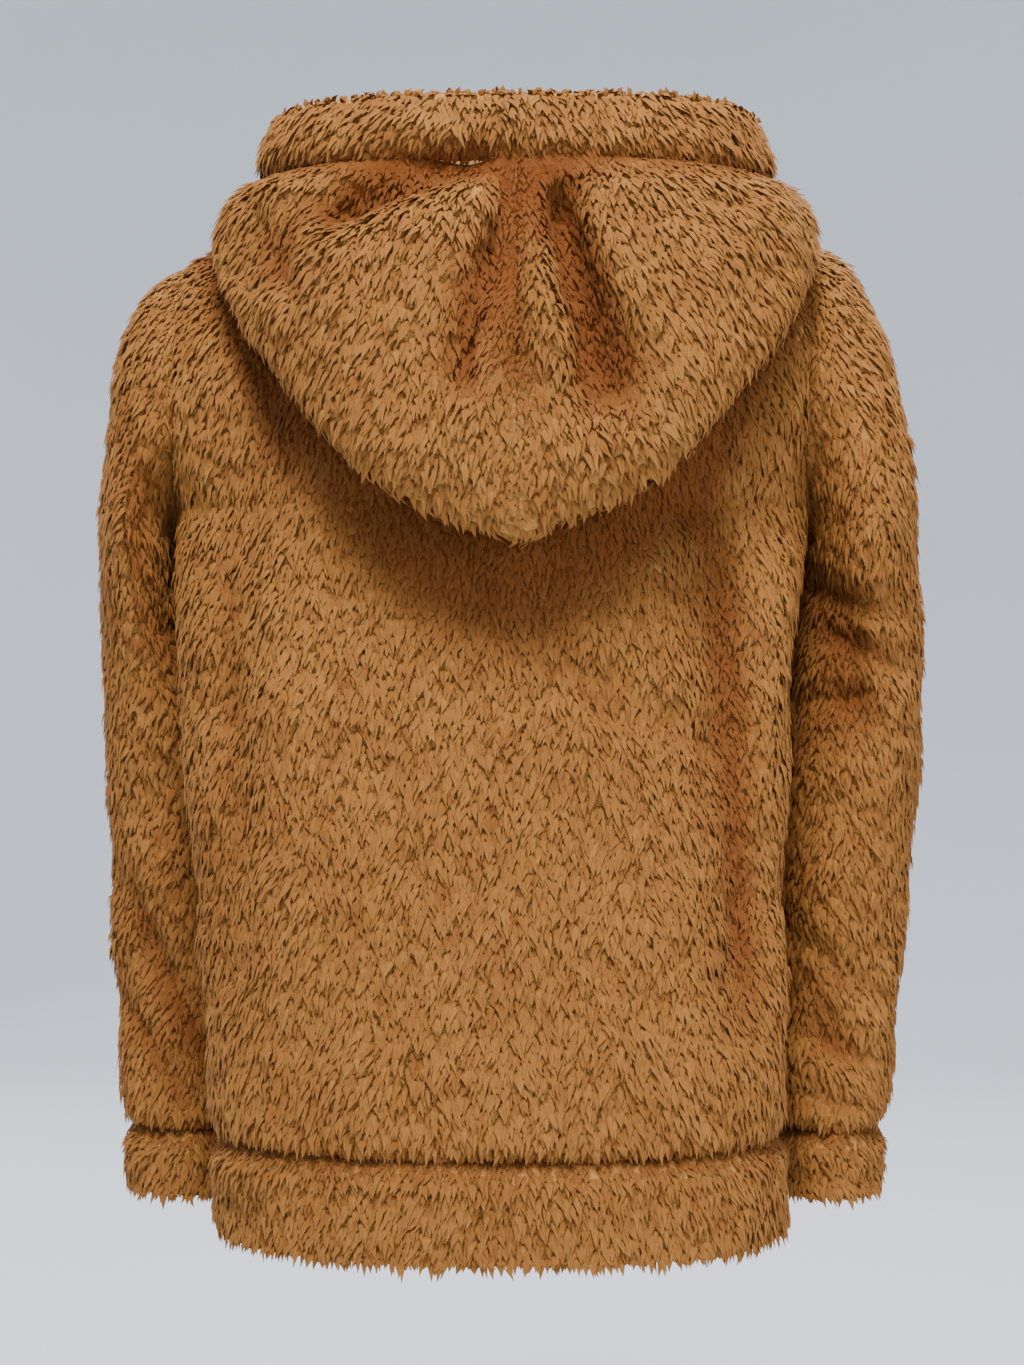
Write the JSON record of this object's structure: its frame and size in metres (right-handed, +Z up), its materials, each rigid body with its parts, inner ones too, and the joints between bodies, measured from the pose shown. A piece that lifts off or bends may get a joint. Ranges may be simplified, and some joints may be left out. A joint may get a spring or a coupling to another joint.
{
  "type": "hooded fleece jacket",
  "caption": "Zip-up hooded jacket of long-pile fleece, worn shape, hood lying back, with banded hem, cuffs and hood opening and a front zip with a hinged pull.",
  "frame": {"origin": "centre of the neck opening, level with the sides of the neck seam, where the wearer's shoulders hold the jacket", "axes": "+Z up along the back, +Y towards the jacket's back, +X towards the wearer's left"},
  "size_m": [0.5436, 0.3188, 0.6939],
  "materials": {
    "fleece": "long-pile curly fleece, caramel brown, matt",
    "zip_tape": "woven tape, brown",
    "zip_teeth": "moulded teeth, brown",
    "zip_metal": "antique brass, satin"
  },
  "bodies": {
    "garment": {"back_panel": "fleece", "front_left_panel": "fleece", "front_right_panel": "fleece", "sleeve_left": "fleece", "sleeve_right": "fleece", "cuff_left": "fleece", "cuff_right": "fleece", "hem_band": "fleece", "hood_left_panel": "fleece", "hood_right_panel": "fleece", "hood_band": "fleece", "zip_tape_left": "zip_tape", "zip_tape_right": "zip_tape", "zip_chain": "zip_teeth", "zip_slider": "zip_metal"},
    "pull": {"zip_pull": "zip_metal"}
  },
  "joints": [
    {"name": "pull_swing", "type": "hinge", "parent": "garment", "child": "pull", "pos_m": [0, -0.09628, -0.09607], "axis": [-1, 0, 0], "range_deg": [0, 150]}
  ]
}
